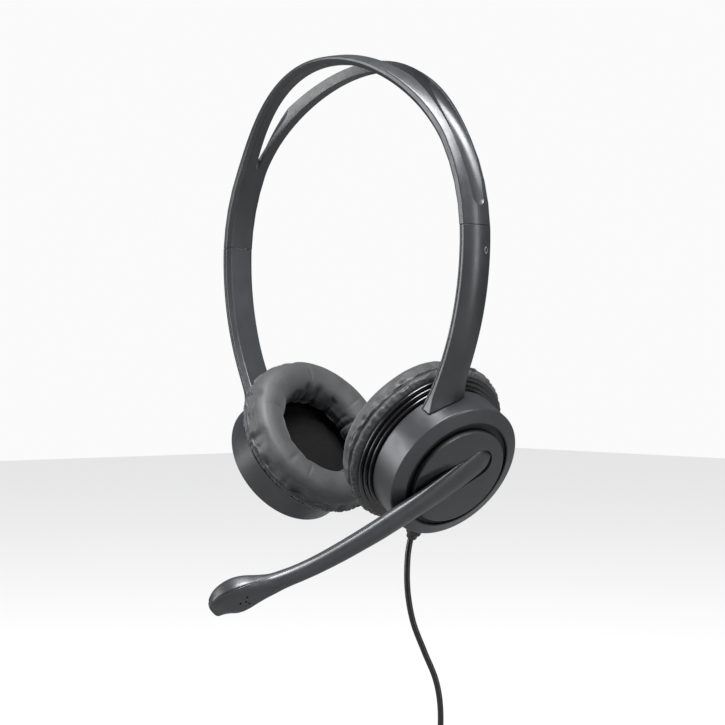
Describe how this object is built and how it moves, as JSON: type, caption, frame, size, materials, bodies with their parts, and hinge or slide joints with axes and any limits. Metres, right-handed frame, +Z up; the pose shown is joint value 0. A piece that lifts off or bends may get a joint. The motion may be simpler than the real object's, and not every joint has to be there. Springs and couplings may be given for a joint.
{
  "type": "office headset",
  "caption": "On-ear stereo headset with a slotted headband, sliding arms, tilting round ear cups, a swivelling microphone boom and a hanging cable.",
  "frame": {"origin": "middle of the headband's underside at the crown", "axes": "+Z up, +X towards the wearer's left ear, the wearer faces -Y"},
  "size_m": [0.1512, 0.1219, 0.302],
  "materials": {
    "grey_plastic": "satin moulded charcoal plastic",
    "black_plastic": "matte black plastic",
    "gloss_black": "glossy black ribs",
    "steel": "rolled spring steel",
    "magnet_steel": "nickel plate",
    "copper": "enamelled copper",
    "film": "thin film",
    "cloth": "black acoustic cloth",
    "leatherette": "soft charcoal leatherette",
    "board": "solder mask",
    "cable_sheath": "smooth black rubber",
    "plated": "plated"
  },
  "bodies": {
    "headband": {"headband": "grey_plastic", "left_slider_strip": "steel", "right_slider_strip": "steel"},
    "left_arm": {"left_arm_outer_shell": "grey_plastic", "left_arm_inner_shell": "grey_plastic", "left_detent_spring": "steel", "left_hinge_pin": "steel"},
    "right_arm": {"right_arm_outer_shell": "grey_plastic", "right_arm_inner_shell": "grey_plastic", "right_detent_spring": "steel", "right_hinge_pin": "steel"},
    "left_cup": {"left_cup_housing": "grey_plastic", "left_groove_ring": "black_plastic", "left_cushion_collar": "gloss_black", "left_cup_screws": "steel", "left_baffle": "black_plastic", "left_damping_disc": "cloth", "left_cushion": "leatherette", "left_driver_frame": "black_plastic", "left_magnet": "magnet_steel", "left_voice_coil": "copper", "left_diaphragm": "film", "terminal_board": "board", "hub_washer": "black_plastic", "strain_relief": "cable_sheath", "cable": "cable_sheath", "plug_body": "cable_sheath", "plug_pin": "plated"},
    "right_cup": {"right_cup_housing": "grey_plastic", "right_groove_ring": "black_plastic", "right_cushion_collar": "gloss_black", "right_cup_screws": "steel", "right_baffle": "black_plastic", "right_damping_disc": "cloth", "right_cushion": "leatherette", "right_driver_frame": "black_plastic", "right_magnet": "magnet_steel", "right_voice_coil": "copper", "right_diaphragm": "film", "right_cap_disc": "grey_plastic"},
    "boom": {"hub_disc": "grey_plastic", "hub_clip": "steel", "boom_inner_shell": "grey_plastic", "boom_outer_shell": "grey_plastic", "mic_capsule": "magnet_steel", "mic_seal": "cloth"}
  },
  "joints": [
    {"name": "left_arm_slide", "type": "slide", "parent": "headband", "child": "left_arm", "axis": [0, 0, -1], "range_m": [0, 0.018]},
    {"name": "right_arm_slide", "type": "slide", "parent": "headband", "child": "right_arm", "axis": [0, 0, -1], "range_m": [0, 0.018]},
    {"name": "left_cup_tilt", "type": "hinge", "parent": "left_arm", "child": "left_cup", "pos_m": [0.05387, -0.00016, -0.13367], "axis": [0.048, 0.9988, 0], "range_deg": [-6, 6]},
    {"name": "right_cup_tilt", "type": "hinge", "parent": "right_arm", "child": "right_cup", "pos_m": [-0.05387, -0.00016, -0.13367], "axis": [0.048, -0.9988, 0], "range_deg": [-6, 6]},
    {"name": "boom_swivel", "type": "hinge", "parent": "left_cup", "child": "boom", "pos_m": [0.0508, 0.0109, -0.1564], "axis": [0.8544, -0.041, -0.518], "range_deg": [-130, 30]}
  ]
}
